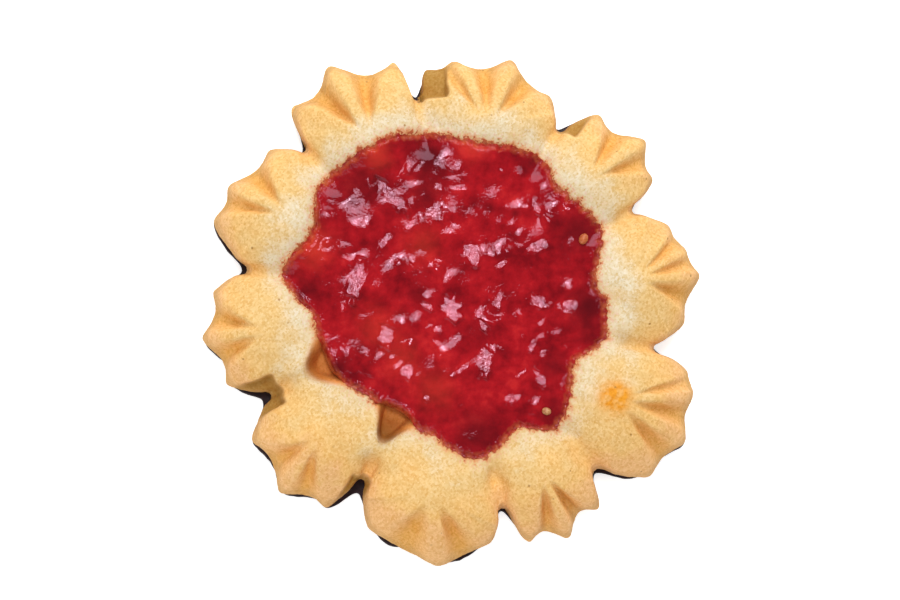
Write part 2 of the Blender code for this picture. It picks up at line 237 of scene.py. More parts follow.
# The jam's edge: how far it spreads past the shore, and its bays and beads as layers of noise
JAM_SPREAD = 0.25
JAM_BAYS = (
    (0.3, 1.7, 51),
    (0.24, 0.7, 52),
    (0.12, 0.4, 54),
)

# The jam's surface: how far it lies under its highest level, how wide its bank is, where the lumps set in,
# how round its lip is on the crust and over a hollow, how thin it gets on the crust, how far its edge tucks
# in below, and how crisp and smooth it is at the hollows
JAM_SINK = 0.2
JAM_BANK = 4.5
JAM_RELIEF_RAMP = 1.6
JAM_SOFT_LIP = 0.9
JAM_CRISP_LIP = 0.8
JAM_HOLLOW_DROP = 0.25
JAM_EDGE_RISE = 0.08
JAM_SKIN = 0.05
JAM_TUCK = 0.3
JAM_TUCK_DEPTH = 0.1
CRISP_FULL = 0.8
CRISP_SMOOTHING = 0.8

# Lumps of fruit and finer beads in the jam, and how far their places are warped
LUMP_SIZE = 3.4
LUMP_HEIGHT = 0.42
BEAD_SIZE = 1.9
BEAD_HEIGHT = 0.16
LUMP_LEVEL = 0.25
FRUIT_WARP = 0.8
FRUIT_WARP_SIZE = 3.7
FRUIT_PATCH = 6.0

# Where whole fruit makes the jam darker or brighter: the middle of each spot, its radius and its strength
DARK_FRUIT = (
    (-13.0, 16.6, 3.6, 0.7),
    (-3.2, 20.9, 2.6, 1.0),
    (-3.7, 15.8, 2.4, 0.7),
    (10.9, 20.1, 1.6, 0.6),
    (17.4, 10.6, 3.0, 0.8),
    (18.8, 0.3, 2.7, 1.0),
    (19.6, -4.2, 1.6, 0.6),
    (-19.7, 2.7, 1.8, 0.6),
    (-15.6, -8.1, 1.5, 0.9),
    (-4.6, 2.2, 1.5, 0.6),
    (14.0, -7.8, 1.8, 0.6),
    (14.5, -14.0, 2.0, 0.6),
    (1.3, 5.8, 1.4, 0.3),
    (3.0, -3.1, 1.4, 0.3),
    (3.6, -17.0, 3.0, 0.75),
    (5.3, 14.0, 0.7, 0.7),
    (8.7, 13.2, 0.7, 0.7),
)
BRIGHT_FRUIT = (
    (-10.6, 21.3, 1.8, 1.0),
    (2.8, 22.8, 1.8, 1.0),
    (-19.2, 8.4, 2.3, 1.0),
    (-10.4, -2.6, 2.6, 0.5),
    (-7.0, -6.9, 2.6, 0.5),
    (-2.3, -11.2, 2.6, 0.5),
    (-4.2, 8.9, 2.3, 0.5),
    (-19.5, -4.0, 1.3, 0.5),
)

# Smooth faces of fruit that mirror the light, as a program measured them from the photo's larger highlights:
# the middle of each, its half length, half width and turn
GLEAMS = (
    (-13.3, 3.8, 2.6, 1.2, 82),
    (-0.2, 0.1, 1.9, 1.2, 116),
    (2.7, 7.6, 1.8, 1.1, 106),
    (-8.4, 15.5, 3.1, 0.9, 134),
    (4.5, -7.2, 2.0, 1.0, 83),
    (-2.4, 13.3, 1.5, 1.1, 0),
    (-5.3, 20.7, 2.2, 0.7, 61),
    (-9.1, -3.7, 1.6, 1.0, 93),
    (12.0, 1.0, 1.5, 0.8, 155),
    (11.9, 8.7, 1.4, 0.9, 13),
    (-6.2, -8.6, 1.1, 0.9, 95),
    (12.3, -9.8, 1.7, 0.6, 128),
    (0.2, 19.9, 1.1, 0.9, 157),
    (-19.6, 8.4, 2.0, 0.5, 48),
    (17.0, -5.0, 1.6, 0.6, 7),
    (-9.3, 9.3, 1.5, 0.6, 60),
    (-20.9, 1.7, 1.6, 0.5, 139),
    (11.6, 14.3, 1.0, 0.7, 116),
    (6.4, 1.2, 1.3, 0.5, 86),
    (3.8, -0.5, 0.9, 0.6, 53),
    (-5.7, 11.5, 1.0, 0.5, 45),
    (-14.8, -5.8, 1.0, 0.5, 108),
    (2.5, -17.2, 1.1, 0.5, 173),
    (-16.4, -6.1, 1.0, 0.5, 116),
    (-10.2, 19.9, 1.0, 0.5, 4),
    (0.8, 16.6, 1.3, 0.4, 174),
    (16.3, 0.6, 0.9, 0.6, 113),
    (7.9, -12.6, 0.7, 0.6, 105),
    (15.9, 14.2, 0.9, 0.5, 110),
    (-3.3, 0.2, 0.9, 0.4, 147),
    (12.6, -6.2, 0.7, 0.6, 125),
    (9.3, 19.3, 0.9, 0.4, 129),
    (11.0, -5.1, 0.8, 0.5, 76),
    (1.2, -8.5, 1.4, 0.4, 35),
    (6.9, 6.2, 0.9, 0.5, 37),
    (10.8, -15.1, 1.1, 0.4, 14),
    (9.4, -9.0, 0.9, 0.4, 38),
    (4.3, -2.5, 1.1, 0.4, 123),
    (-1.9, 16.8, 0.7, 0.5, 140),
    (-5.6, 6.9, 0.9, 0.4, 116),
    (-3.6, -12.4, 0.6, 0.5, 148),
    (-2.0, -2.8, 0.6, 0.5, 149),
    (15.7, -10.8, 0.6, 0.5, 166),
)
GLEAM_LEAN = 7.4
GLEAM_BEARING = 114.0
GLEAM_FULLNESS = 1.35
GLEAM_SOFTNESS = 0.45

# How uneven the chocolate's edge is, as layers of noise
CHOCOLATE_WAVES = (
    (0.15, 2.4, 71),
    (0.1, 1.0, 72),
)

# How finely each piece is drawn
BISCUIT_COLUMNS = 1080
CRUST_RINGS = 62
SLOPE_RINGS = 14
JAM_COLUMNS = 720
JAM_RINGS = 118
CHOCOLATE_COLUMNS = 900
SEED_COLUMNS = 48
SEED_ROWS = 24
OUTLINE_STEPS = 1440
ROSETTE_RIM_STEPS = 120


def smoothstep(value):
    clipped = np.clip(value, 0.0, 1.0)
    return clipped * clipped * (3.0 - 2.0 * clipped)


def angle_between(bearing, other):
    """Signed difference of two bearings, between -180 and 180 degrees."""
    return (bearing - other + 180.0) % 360.0 - 180.0


def blurred(values, width):
    """Smooths samples that run once round the circle, by a Gaussian of this width in degrees."""
    offsets = np.arange(len(values)) * 360.0 / len(values)
    kernel = np.exp(-0.5 * (angle_between(offsets, 0.0) / width) ** 2)
    return np.real(np.fft.ifft(np.fft.fft(values) * np.fft.fft(kernel / kernel.sum())))


# Repeatable noise
def hashed(column, row, seed):
    """A number between 0 and 1 that belongs to a lattice cell."""
    mixed = (column * 73856093) ^ (row * 19349663) ^ (seed * 83492791)
    mixed = ((mixed ^ (mixed >> 13)) * 1274126177) & 0x7FFFFFFF
    return ((mixed ^ (mixed >> 15)) & 0xFFFF) / 65535.0


def noise(x, y, size, seed):
    """Smooth noise of about -1 to 1, with features of this size."""
    u, v = x / size, y / size
    column, row = np.floor(u).astype(np.int64), np.floor(v).astype(np.int64)
    fu, fv = u - column, v - row
    wu = fu**3 * (fu * (6.0 * fu - 15.0) + 10.0)
    wv = fv**3 * (fv * (6.0 * fv - 15.0) + 10.0)

    def corner(right, up):
        turn = hashed(column + right, row + up, seed) * 2.0 * math.pi
        return np.cos(turn) * (fu - right) + np.sin(turn) * (fv - up)

    low = corner(0, 0) * (1.0 - wu) + corner(1, 0) * wu
    high = corner(0, 1) * (1.0 - wu) + corner(1, 1) * wu
    return (low * (1.0 - wv) + high * wv) * 1.5


def roughness(x, y, layers):
    """Noise of several sizes added up. Each layer is its height, its size and its seed."""
    return sum(height * noise(x, y, size, seed) for height, size, seed in layers)


def cells(x, y, size, seed):
    """The distance to the nearest of some scattered points, in units of size."""
    u, v = x / size, y / size
    column, row = np.floor(u).astype(np.int64), np.floor(v).astype(np.int64)
    nearest = np.full(u.shape, 9.0)
    for right in (-1, 0, 1):
        for up in (-1, 0, 1):
            c, r = column + right, row + up
            distance = np.hypot(u - c - hashed(c, r, seed), v - r - hashed(c, r, seed + 1))
            nearest = np.minimum(nearest, distance)
    return nearest


def bumps(x, y, size, seed):
    """Round swellings of uneven size at scattered points, between 0 and about 1."""
    u, v = x / size, y / size
    column, row = np.floor(u).astype(np.int64), np.floor(v).astype(np.int64)
    total = np.zeros(np.shape(u))
    for right in (-1, 0, 1):
        for up in (-1, 0, 1):
            c, r = column + right, row + up
            distance = np.hypot(u - c - hashed(c, r, seed), v - r - hashed(c, r, seed + 1))
            radius = 0.6 + 0.4 * hashed(c, r, seed + 2)
            total = total + hashed(c, r, seed + 3) * np.clip(1.0 - (distance / radius) ** 2, 0.0, None) ** 3
    return total


# Form, as in the solids
def outline_samples():
    """The biscuit's reach at even bearings: tips joined by hollow arcs, and notches between rosettes."""
    bearings = np.arange(OUTLINE_STEPS) * 360.0 / OUTLINE_STEPS
    reach = np.zeros(OUTLINE_STEPS)
    for index, (_, _, dip, tips) in enumerate(ROSETTES):
        before = NOTCHES[index - 1][:2]
        after = NOTCHES[index][:2]
        corners = [before, *tips, after]
        for (start, low), (end, high) in zip(corners, corners[1:]):
            span = angle_between(end, start)
            along = angle_between(bearings, start) / span
            inside = (along >= 0.0) & (along < 1.0)
            t = along[inside]
            reach[inside] = low + (high - low) * t
            if (start, low) != before and (end, high) != after:
                reach[inside] -= dip * span * (1.0 - np.abs(2.0 * t - 1.0) ** DIP_FULLNESS)
    return blurred(reach, TIP_ROUNDING)


def chocolate_samples():
    """The chocolate's reach at even bearings."""
    bearings = np.arange(OUTLINE_STEPS) * 360.0 / OUTLINE_STEPS
    reach = blurred(OUTLINE, CHOCOLATE_SMOOTHING) - CHOCOLATE_MARGIN
    for place, half_width, extra in CHOCOLATE_BULGES:
        reach += extra * np.exp(-((angle_between(bearings, place) / half_width) ** 2))
    return reach


OUTLINE = outline_samples()
DOME_OUTLINE = blurred(OUTLINE, DOME_SMOOTHING) + DOME_OVERREACH
CHOCOLATE_OUTLINE = chocolate_samples()


def origin_of_box():
    """The middle of the biscuit's box, on the underside."""
    angle = np.radians(np.arange(OUTLINE_STEPS) * 360.0 / OUTLINE_STEPS)
    x, y = OUTLINE * np.cos(angle), OUTLINE * np.sin(angle)
    return np.array(((x.max() + x.min()) / 2.0, (y.max() + y.min()) / 2.0, 0.0))


ORIGIN = origin_of_box()


def read_round(samples, bearing):
    """Reads samples that run once round the circle at any bearing."""
    grid = np.arange(len(samples) + 1) * 360.0 / len(samples)
    return np.interp(np.asarray(bearing) % 360.0, grid, np.append(samples, samples[0]))


def biscuit_reach(bearing):
    return read_round(OUTLINE, bearing)


def through_extremes(extremes, bearing):
    """A smooth closed curve that is level at each named bay and lobe."""
    bearing = np.asarray(bearing, float)
    reach = np.zeros(bearing.shape)
    for (start, low), (end, high) in zip(extremes, extremes[1:] + extremes[:1]):
        span = (end - start) % 360.0
        along = ((bearing - start) % 360.0) / span
        reach = np.where(along < 1.0, low + (high - low) * smoothstep(along), reach)
    return reach


def shore_reach(bearing):
    return through_extremes(SHORE, bearing)


def hollow_amount(bearing):
    """How far the dish runs out past the jam at its two hollows, in millimetres."""
    amount = np.zeros(np.shape(bearing))
    for centre, half_width, extra in HOLLOWS:
        amount = amount + extra * np.exp(-((angle_between(bearing, centre) / half_width) ** 2))
    return amount


def dish_reach(bearing):
    return shore_reach(bearing) + DISH_MARGIN + hollow_amount(bearing)


def dish_slope(bearing):
    """How wide the dish's side is: steeper where it runs out past the jam."""
    return DISH_SLOPE - HOLLOW_STEEPENING * hollow_amount(bearing)


def notch_reach(bearing):
    """The reach of the notches, carried smoothly round between them."""
    return through_extremes([(place, reach) for place, reach, _, _ in NOTCHES], bearing)


def facet(across, run):
    """How deep a groove is cut: a facet that is a point inwards and widens to the whole gap at the rim."""
    width = GROOVE_POINT + (GROOVE_MOUTH - GROOVE_POINT) * run
    inside = np.clip(1.0 - np.abs(across) / width, 0.0, 1.0)
    return smoothstep(inside * GROOVE_FLOOR) * smoothstep(run * GROOVE_FALL)


def rosette_form(index, x, y):
    """A star-shaped dome: the height of each point, and how much of a groove it is in."""
    rise, depth, _, tips = ROSETTES[index]
    start, end = NOTCHES[index - 1][0], NOTCHES[index][0]
    width = (end - start) % 360.0
    middle = math.radians(start + width / 2.0)
    outward = np.array((math.cos(middle), math.sin(middle)))
    centre = outward * ROSETTE_CENTRE_REACH

    def local(px, py):
        dx, dy = px - centre[0], py - centre[1]
        along = dx * outward[0] + dy * outward[1]
        across = -dx * outward[1] + dy * outward[0]
        return np.hypot(dx, dy), np.degrees(np.arctan2(across, along))

    rim_bearings = start + np.linspace(0.0, width, ROSETTE_RIM_STEPS)
    rim = read_round(DOME_OUTLINE, rim_bearings)
    rim_distance, rim_angle = local(
        rim * np.cos(np.radians(rim_bearings)), rim * np.sin(np.radians(rim_bearings))
    )
    order = np.argsort(rim_angle)
    known_angle = np.concatenate(([-180.0], rim_angle[order], [180.0]))
    known_edge = np.concatenate(([ROSETTE_INNER_RADIUS], rim_distance[order], [ROSETTE_INNER_RADIUS]))

    distance, angle = local(x, y)
    edge = np.interp(angle, known_angle, known_edge)
    fraction = distance / edge
    body = np.clip(1.0 - fraction**DOME_FULLNESS, 0.0, None) ** 0.5
    tip_angles = [
        float(local(reach * math.cos(math.radians(place)), reach * math.sin(math.radians(place)))[1])
        for place, reach in tips
    ]
    run = np.clip((fraction - GROOVE_START) / (1.0 - GROOVE_START), 0.0, 1.0)
    groove = np.zeros_like(distance)
    for left, right in zip(tip_angles, tip_angles[1:]):
        half = (right - left) / 2.0
        groove = groove + facet((angle - left - half) / half, run) * min(1.0, half / GROOVE_FULL_SPAN)
    top = FOOT_HEIGHT + (PEAK_HEIGHT + rise - FOOT_HEIGHT) * body - depth * groove
    return np.where(fraction < 1.0, top, FOOT_HEIGHT - OUT_OF_BLEND), groove


def ring_height(x, y, bearing, reach):
    """The ring that the rosettes' inner halves merge into, with a seam at each notch."""
    outer = notch_reach(bearing) + RING_OVERREACH
    fraction = np.clip((reach - RING_CREST_REACH) / (outer - RING_CREST_REACH), 0.0, 1.0)
    top = FOOT_HEIGHT + (RING_HEIGHT - FOOT_HEIGHT) * np.sqrt(1.0 - fraction**DOME_FULLNESS)
    for place, _, depth, wide in NOTCHES:
        turned = np.radians(angle_between(bearing, place))
        across = reach * np.sin(turned)
        seam = np.exp(-((across / wide) ** 2)) * (np.cos(turned) > 0.0)
        top = top - depth * seam * smoothstep((reach - SEAM_START) / SEAM_RUN)
    return top


def shelf_share(bearing, reach):
    """How much of its height the crust loses where a low flank stands beside a notch."""
    lost = np.zeros_like(reach)
    for start, end, inner, share in SHELVES:
        sideways = smoothstep(angle_between(bearing, start) / SHELF_EDGE)
        sideways = sideways * smoothstep(angle_between(end, bearing) / SHELF_EDGE)
        lost = lost + share * sideways * smoothstep((reach - inner) / SHELF_EDGE)
    return lost


def crust_form(x, y):
    """The biscuit's upper surface before the dish is hollowed, and how much of a groove each point is in."""
    bearing = np.degrees(np.arctan2(y, x))
    reach = np.hypot(x, y)
    heights = [ring_height(x, y, bearing, reach)]
    grooves = [np.zeros_like(reach)]
    for index in range(len(ROSETTES)):
        height, groove = rosette_form(index, x, y)
        heights.append(height)
        grooves.append(groove)
    stack = np.array(heights)
    highest = stack.max(axis=0)
    weights = np.exp((stack - highest) / BLEND)
    total = weights.sum(axis=0)
    groove = (weights * np.array(grooves)).sum(axis=0) / total
    from_shore = np.clip(reach - shore_reach(bearing), 0.0, None)
    blend = highest + BLEND * np.log(total) - BANK_DROP * np.exp(-from_shore / BANK_WIDTH)
    lift = np.maximum(blend - FOOT_HEIGHT, RIM_EDGE) * (1.0 - shelf_share(bearing, reach))
    from_rim = np.clip((biscuit_reach(bearing) - reach) / RIM_ROUNDING, 0.0, 1.0)
    return FOOT_HEIGHT + lift * np.sqrt(1.0 - (1.0 - from_rim) ** 2), groove


def dish_depth(x, y):
    """How far into the dish each point is: 0 on the ring and 1 on the dish's floor."""
    bearing = np.degrees(np.arctan2(y, x))
    return smoothstep((dish_reach(bearing) - np.hypot(x, y)) / dish_slope(bearing))


def biscuit_top(x, y):
    """The biscuit's upper surface, with the dish for the jam."""
    depth = dish_depth(x, y)
    return crust_form(x, y)[0] * (1.0 - depth) + DISH_FLOOR * depth


# Meshes
def grid_normals(points):
    """Outward normals of a grid of points, rings by columns, that closes on itself round the columns."""
    down = np.gradient(points, axis=0)
    around = np.roll(points, -1, axis=1) - np.roll(points, 1, axis=1)
    normals = np.cross(down, around)
    length = np.linalg.norm(normals, axis=2, keepdims=True)
    return normals / np.maximum(length, 1e-12)


def round_mesh(name, points, top_pole, bottom_pole, values):
    """A closed mesh from rings of points, with a pole at each end, and a number per point for each value."""
    rings, columns, _ = points.shape
    vertices = np.concatenate((points.reshape(-1, 3), [top_pole, bottom_pole]))
    first = np.arange(columns)
    following = (first + 1) % columns
    quads = [
        np.stack((row + first, row + columns + first, row + columns + following, row + following), axis=1)
        for row in range(0, (rings - 1) * columns, columns)
    ]
    top, bottom = rings * columns, rings * columns + 1
    last = (rings - 1) * columns
    caps = [
        np.stack((np.full(columns, top), first, following), axis=1),
        np.stack((np.full(columns, bottom), last + following, last + first), axis=1),
    ]
    mesh = bpy.data.meshes.new(name)
    faces = np.concatenate(quads).tolist() + np.concatenate(caps).tolist()
    mesh.from_pydata(((vertices - ORIGIN) * MM).tolist(), [], faces)
    mesh.shade_smooth()
    for label, numbers in values.items():
        layer = mesh.attributes.new(label, "FLOAT", "POINT")
        flat = np.concatenate((numbers.reshape(-1), [numbers[0].mean(), numbers[-1].mean()]))
        layer.data.foreach_set("value", flat.astype(np.float32))
    mesh.update()
    piece = bpy.data.objects.new(name, mesh)
    bpy.context.scene.collection.objects.link(piece)
    return piece


def placed(reach, bearing, height):
    """Points at these reaches, bearings and heights."""
    angle = np.radians(bearing)
    return np.stack(np.broadcast_arrays(reach * np.cos(angle), reach * np.sin(angle), height), axis=-1)


def even_bearings(columns):
    return np.arange(columns) * 360.0 / columns


# Biscuit
def crease_share(x, y):
    """How far each point is in a fine crease between two rosettes, from near the jam out to the notch."""
    bearing = np.degrees(np.arctan2(y, x))
    reach = np.hypot(x, y)
    share = np.zeros(np.shape(x))
    wander = 0.5 * noise(x, y, 3.0, 17)
    beyond = smoothstep((reach - dish_reach(bearing) - CREASE_START) / CREASE_RUN)
    for place, _, _, wide in NOTCHES:
        turned = np.radians(angle_between(bearing, place))
        across = reach * np.sin(turned) + wander
        share = np.maximum(share, np.exp(-((across / (CREASE_WIDTH * wide)) ** 2)) * (np.cos(turned) > 0.0))
    return share * beyond


def biscuit_points():
    """Rings of the biscuit from the dish's middle out over the crust, down the side and in under it."""
    bearing = even_bearings(BISCUIT_COLUMNS)
    angle = np.radians(bearing)
    dish, rim, slope = dish_reach(bearing), biscuit_reach(bearing), dish_slope(bearing)
    reaches = [(dish - slope) * share for share in (0.15, 0.4, 0.65, 0.85, 0.95)]
    reaches += [dish - slope * (1.0 - share) for share in np.linspace(0.0, 0.95, SLOPE_RINGS)]
    shares = 1.0 - (1.0 - np.linspace(0.0, 1.0, CRUST_RINGS)) ** 1.4
    reaches += [dish + (rim - dish) * share for share in shares[:-1]]
    rings = []
    for reach in reaches:
        x, y = reach * np.cos(angle), reach * np.sin(angle)
        rings.append(placed(reach, bearing, biscuit_top(x, y)))
    wander = 1.0 + WALL_WANDER * noise(rim * np.cos(angle), rim * np.sin(angle), 3.0, 5)
    for share in (0.0, 0.2, 0.45, 0.7, 0.88, 1.0):
        height = FOOT_HEIGHT + (BISCUIT_BOTTOM - FOOT_HEIGHT) * share
        rings.append(placed(rim - WALL_INSET * wander * share**1.6, bearing, height))
    rings += [placed(rim * share, bearing, BISCUIT_BOTTOM) for share in (0.9, 0.6, 0.3)]
    return np.array(rings), len(reaches)


def make_biscuit():
    """The biscuit with its fine relief, and the values that colour it point by point."""
    points, crust_rings = biscuit_points()
    x, y, z = points[..., 0], points[..., 1], points[..., 2]
    bearing = np.degrees(np.arctan2(y, x))
    reach = np.hypot(x, y)
    _, groove = crust_form(x, y)
    rim = biscuit_reach(bearing)
    dish = dish_reach(bearing)

    u, v = x + 0.8 * z, y - 0.7 * z
    crease = crease_share(x, y)
    swell = roughness(u, v, CRUST_SWELLS) - CREASE_DEPTH * crease
    grain = roughness(u, v, CRUST_GRAINS)
    on_top = 1.0 - smoothstep((dish - reach) / 2.5)
    push = (swell + grain) * on_top
    push[crust_rings + 5 :] = 0.0
    points = points + grid_normals(points) * push[..., None]
    normals = grid_normals(points)

    outwards = np.clip((reach - dish) / (rim - dish), 0.0, 1.0)
    beyond_jam = np.clip(reach - jam_edge(bearing) + roughness(x, y, STAIN_FEATHERS), 0.0, None)
    from_blister = np.hypot(x - BLISTER_PLACE[0], y - BLISTER_PLACE[1])
    values = {
        "outwards": outwards + LOWER_SIDE_GOLD_REACH * np.clip(-y / reach, 0.0, 1.0),
        # Grooves are darkened amber, partly browning and partly painted shade; creases get painted shade
        "groove": np.maximum(groove, CREASE_PAINTED_SHADE * crease),
        "stain": np.exp(-beyond_jam / STAIN_REACH),
        # Low flanks beside notches get a painted shadow
        "shelf_shadow_mask": smoothstep(shelf_share(bearing, reach) / SHELF_FULL),
        # Steep low sides get a darker olive brown: partly browning, partly painted shade
        "steep": smoothstep((STEEP_SLOPE - normals[..., 2]) / STEEP_RANGE),
        "low": smoothstep((LOW_HEIGHT - z) / LOW_RANGE),
        # Where the hollows get painted shade
        "hollow_painted_shade": smoothstep((dish - reach + HOLLOW_FRINGE) / HOLLOW_FEATHER) * crispness(bearing),
        "past_jam": np.clip((reach - shore_reach(bearing)) / HOLLOW_SHADE_RUN, 0.0, 1.0),
        "blister": np.exp(-((from_blister / BLISTER_SIZE) ** 2)),
    }
    return round_mesh(
        "baked_biscuit", points, (0.0, 0.0, DISH_FLOOR), (0.0, 0.0, BISCUIT_BOTTOM), values
    )


# Jam
def jam_edge(bearing):
    """The jam's edge, with small bays and beads, and smoother at the hollows."""
    reach = shore_reach(bearing)
    angle = np.radians(bearing)
    x, y = reach * np.cos(angle), reach * np.sin(angle)
    return reach + (JAM_SPREAD + roughness(x, y, JAM_BAYS)) * (1.0 - CRISP_SMOOTHING * crispness(bearing))


def crispness(bearing):
    """How far each bearing is in one of the two hollows, where the jam ends in a crisp lip."""
    return smoothstep(hollow_amount(bearing) / CRISP_FULL)


def jam_lumps(x, y):
    """Fruit lumps and dents in the jam, with calmer areas between them."""
    warp_x = x + FRUIT_WARP * noise(x, y, FRUIT_WARP_SIZE, 41)
    warp_y = y + FRUIT_WARP * noise(x, y, FRUIT_WARP_SIZE, 42)
    lumps = LUMP_HEIGHT * (bumps(warp_x, warp_y, LUMP_SIZE, 43) - LUMP_LEVEL)
    beads = BEAD_HEIGHT * (bumps(warp_x, warp_y, BEAD_SIZE, 53) - LUMP_LEVEL)
    busy = 0.2 + 0.45 * smoothstep(0.5 + 1.3 * noise(x, y, FRUIT_PATCH, 58))
    return 0.12 * noise(x, y, FRUIT_PATCH, 47) + busy * (lumps + beads)


def jam_faces(x, y):
    """The jam's lumps with a smooth leaning face at each gleam, and how far each point is in such a face."""
    relief, shine = jam_lumps(x, y), np.zeros(np.shape(x))
    ragged = 1.0 + 0.3 * noise(x, y, 0.9, 57)
    lean, downhill = math.tan(math.radians(GLEAM_LEAN)), math.radians(GLEAM_BEARING)
    for across, up, half_length, half_width, turn in GLEAMS:
        east, north = x - across, y - up
        cos, sin = math.cos(math.radians(turn)), math.sin(math.radians(turn))
        along = (east * cos + north * sin) / half_length
        aside = (north * cos - east * sin) / half_width
        distance = np.hypot(along, aside)
        middle = float(jam_lumps(np.array(across), np.array(up)))
        face = middle - lean * (east * math.cos(downhill) + north * math.sin(downhill))
        amount = smoothstep((GLEAM_FULLNESS * ragged - distance) / GLEAM_SOFTNESS)
        relief = relief * (1.0 - amount) + face * amount
        shine = np.maximum(shine, amount)
    return relief, shine


def jam_relief(x, y):
    return jam_faces(x, y)[0]


def spots(x, y, places):
    """Soft round spots, each with its middle, radius and strength."""
    total = np.zeros(np.shape(x))
    uneven = 1.0 + 0.25 * noise(x, y, 1.6, 61)
    for across, up, radius, strength in places:
        distance = np.hypot(x - across, y - up)
        total = total + strength * np.exp(-((distance / (radius * uneven)) ** 2))
    return total


def make_jam():
    """The jam from its edge in over the lumps, and back under along the dish."""
    bearing = even_bearings(JAM_COLUMNS)
    shore = jam_edge(bearing)
    angle = np.radians(bearing)
    crisp = crispness(bearing)
    nearness = np.append(np.linspace(0.985, 0.0, JAM_RINGS) ** 1.15, 0.0)
    smooth_shore = shore_reach(bearing) + JAM_SPREAD
    edge_x, edge_y = smooth_shore * np.cos(angle), smooth_shore * np.sin(angle)
    hollow_level = JAM_LEVEL - JAM_SINK - JAM_HOLLOW_DROP
    edge_level = biscuit_top(edge_x, edge_y) * (1.0 - crisp) + hollow_level * crisp
    rings = []
    for share in nearness[:-1]:
        reach = shore * (1.0 - share)
        x, y = reach * np.cos(angle), reach * np.sin(angle)
        inside = shore - reach
        skin = biscuit_top(x, y) + JAM_SKIN
        inwards = smoothstep((smooth_shore - reach) / JAM_BANK)
        level = (edge_level + JAM_EDGE_RISE) * (1.0 - inwards) + (JAM_LEVEL - JAM_SINK) * inwards
        level = level + jam_relief(x, y) * smoothstep((smooth_shore - reach) / JAM_RELIEF_RAMP)
        soft = smoothstep(inside / JAM_SOFT_LIP)
        sharp = np.sqrt(1.0 - (1.0 - np.clip(inside / JAM_CRISP_LIP, 0.0, 1.0)) ** 2)
        rise = soft * (1.0 - crisp) + sharp * crisp
        height = np.maximum(skin * (1.0 - rise) + level * rise, skin)
        rings.append(placed(reach, bearing, height))
    for drop in (0.15, 1.0):
        reach = shore - JAM_TUCK * drop
        x, y = reach * np.cos(angle), reach * np.sin(angle)
        rings.append(placed(reach, bearing, biscuit_top(x, y) - JAM_TUCK_DEPTH * drop))
    for share in (0.85, 0.6, 0.3):
        reach = shore * share
        x, y = reach * np.cos(angle), reach * np.sin(angle)
        rings.append(placed(reach, bearing, biscuit_top(x, y) + 0.1))
    points = np.array(rings)
    x, y = points[..., 0], points[..., 1]
    middle = float(JAM_LEVEL - JAM_SINK + jam_relief(np.array(0.0), np.array(0.0)))
    values = {
        "from_shore": np.broadcast_to(shore, x.shape) - np.hypot(x, y),
        "shine": jam_faces(x, y)[1],
        "dark": spots(x, y, DARK_FRUIT),
        "bright": spots(x, y, BRIGHT_FRUIT),
    }
    return round_mesh("jam_filling", points, (0.0, 0.0, middle), (0.0, 0.0, DISH_FLOOR + 0.1), values)


def make_seed(index, bearing, reach, length, width):
    """A raspberry seed: a blunt bean with a net of dents."""
    angle = math.radians(bearing)
    x, y = reach * math.cos(angle), reach * math.sin(angle)
    level = float(JAM_LEVEL - JAM_SINK + jam_relief(np.array(x), np.array(y))) - SEED_SINK
    half = width / (2.0 * SEED_FLATNESS)
    turn = even_bearings(SEED_COLUMNS)
    cos, sin = math.cos(angle + math.radians(SEED_TURN)), math.sin(angle + math.radians(SEED_TURN))
    rings = []
    for row in range(1, SEED_ROWS):
        polar = math.pi * row / SEED_ROWS
        dents = cells(turn / 20.0, np.full(SEED_COLUMNS, polar * 4.0), 1.0, 61 + index)
        radius = 1.0 - SEED_DENT * smoothstep(1.0 - dents * 1.6)
        ring = placed(radius * math.sin(polar), turn, radius * math.cos(polar))
        along = ring[:, 0] * length / 2.0 * (1.0 + 0.12 * math.cos(polar))
        across = ring[:, 1] * width / 2.0
        lift = ring[:, 2] * half + level
        east, north = x + along * cos - across * sin, y + along * sin + across * cos
        rings.append(np.stack((east, north, lift), axis=-1))
    return round_mesh(f"seed_{index + 1}", np.array(rings), (x, y, level + half), (x, y, level - half), {})


# Chocolate
def make_chocolate():
    """A plate with rounded edges and a slightly uneven outline."""
    bearing = even_bearings(CHOCOLATE_COLUMNS)
    turned = np.radians(bearing)
    edge = read_round(CHOCOLATE_OUTLINE, bearing)
    x, y = edge * np.cos(turned), edge * np.sin(turned)
    edge = edge + roughness(x, y, CHOCOLATE_WAVES)
    rounding = CHOCOLATE_EDGE_ROUNDING
    leans = np.linspace(0.0, math.pi / 2.0, 6)
    rings = [placed(edge * share, bearing, CHOCOLATE_TOP) for share in (0.3, 0.6, 0.85, 0.93)]
    for lean in leans:
        height = CHOCOLATE_TOP - rounding * (1.0 - math.cos(lean))
        rings.append(placed(edge - rounding * (1.0 - math.sin(lean)), bearing, height))
    for lean in leans:
        height = rounding * (1.0 - math.sin(lean))
        rings.append(placed(edge - rounding * (1.0 - math.cos(lean)), bearing, height))
    rings += [placed(edge * share, bearing, 0.0) for share in (0.9, 0.6, 0.3)]
    return round_mesh(
        "chocolate_layer", np.array(rings), (0.0, 0.0, CHOCOLATE_TOP), (0.0, 0.0, 0.0), {}
    )


